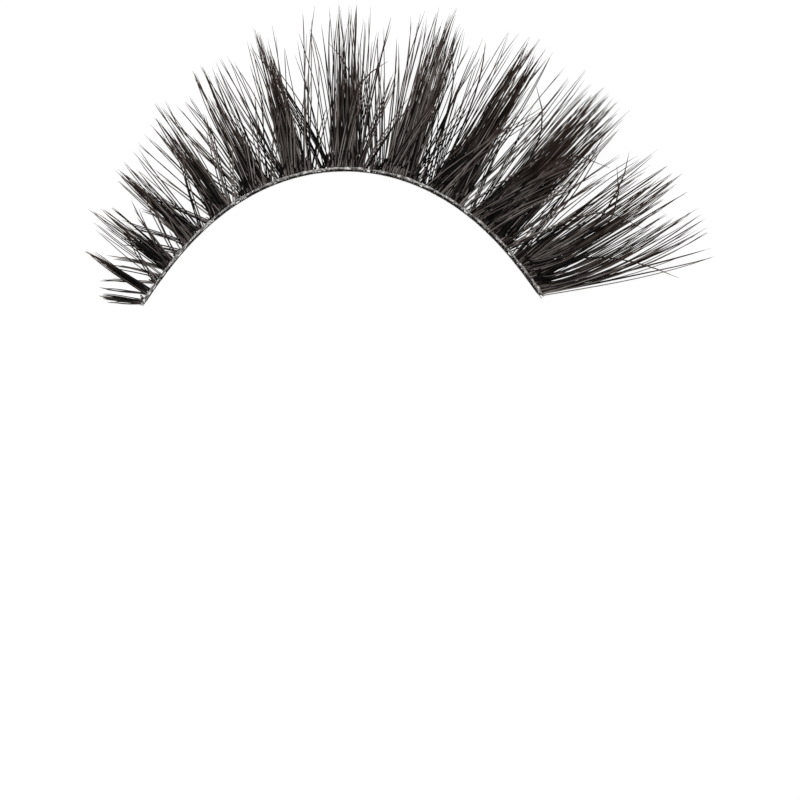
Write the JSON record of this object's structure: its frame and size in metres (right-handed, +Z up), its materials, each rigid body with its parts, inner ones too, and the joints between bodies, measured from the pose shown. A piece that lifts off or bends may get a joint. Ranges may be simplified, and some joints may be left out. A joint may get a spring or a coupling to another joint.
{
  "type": "false eyelash strip",
  "caption": "Curved strip of spiky false lashes on a thin clear band, short at the inner corner and fanned long at the outer corner, tips curled up.",
  "frame": {"origin": "on the surface that the strip lies on, under the middle of its bounding box", "axes": "+X towards the outer corner of the eye, +Y away from the eye along the middle lashes, +Z up, the way the tips curl"},
  "size_m": [0.0416, 0.0205, 0.0047],
  "materials": {
    "lash_fibre": "satin",
    "clear_band": "gloss"
  },
  "bodies": {
    "root": {"band": "clear_band", "lash_cluster_01": "lash_fibre", "lash_cluster_02": "lash_fibre", "lash_cluster_03": "lash_fibre", "lash_cluster_04": "lash_fibre", "lash_cluster_05": "lash_fibre", "lash_cluster_06": "lash_fibre", "lash_cluster_07": "lash_fibre", "lash_cluster_08": "lash_fibre", "lash_cluster_09": "lash_fibre", "lash_cluster_10": "lash_fibre", "lash_cluster_11": "lash_fibre", "lash_cluster_12": "lash_fibre", "lash_cluster_13": "lash_fibre"}
  },
  "joints": []
}
